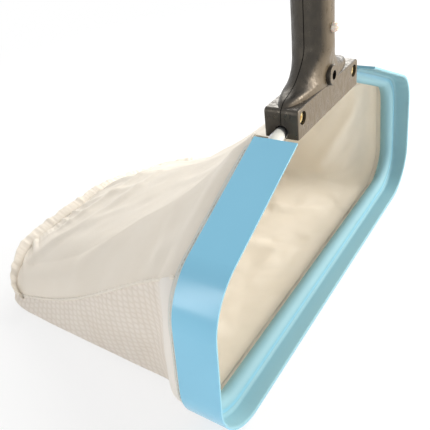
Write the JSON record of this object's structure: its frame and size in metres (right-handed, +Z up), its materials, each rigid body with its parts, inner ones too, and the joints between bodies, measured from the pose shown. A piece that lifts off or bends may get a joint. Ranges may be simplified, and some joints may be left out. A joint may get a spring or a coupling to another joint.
{
  "type": "leaf skimmer net",
  "caption": "Deep net bag on a bent rod hoop with a soft scraping strip, a two-part clamp handle and a round pole spigot with a spring button",
  "frame": {"origin": "on the floor under the spigot's axis, at the middle of the strip's straight underside", "axes": "+X to the right seen from the mouth, +Y back into the bag, +Z up along the spigot"},
  "size_m": [0.3712, 0.2799, 0.29],
  "materials": {
    "rod_aluminium": "drawn, plain",
    "ferrule_steel": "rolled tube, zinc plated",
    "strip_vinyl": "extruded soft vinyl, satin",
    "hem_tape": "woven polyester tape",
    "handle_plastic": "moulded, fine texture",
    "screw_zinc": "yellow zinc plated",
    "nut_zinc": "zinc plated",
    "spring_steel": "rolled stainless strip",
    "button_plastic": "turned, smooth",
    "bag_cloth": "plain woven polyester",
    "bag_mesh": "pebbled knitted mesh",
    "seam_cloth": "folded and overlocked"
  },
  "bodies": {
    "net": {"frame_rod": "rod_aluminium", "rod_ferrule": "ferrule_steel", "edge_strip": "strip_vinyl", "rim_hem": "hem_tape", "handle_front_shell": "handle_plastic", "handle_rear_shell": "handle_plastic", "end_screws": "screw_zinc", "end_nuts": "nut_zinc", "centre_screw": "screw_zinc", "centre_nut": "nut_zinc", "clip_spring": "spring_steel", "bag_top_cloth": "bag_cloth", "bag_floor_mesh": "bag_mesh", "side_seam_left": "seam_cloth", "side_seam_right": "seam_cloth", "tail_seam": "seam_cloth"},
    "button": {"clip_button": "button_plastic"}
  },
  "joints": [
    {"name": "button_press", "type": "slide", "parent": "net", "child": "button", "axis": [0, 1, 0], "range_m": [0, 0.005], "stiffness_N_per_m": 1200, "springref_m": -0.003, "deforming": ["clip_spring"]}
  ]
}
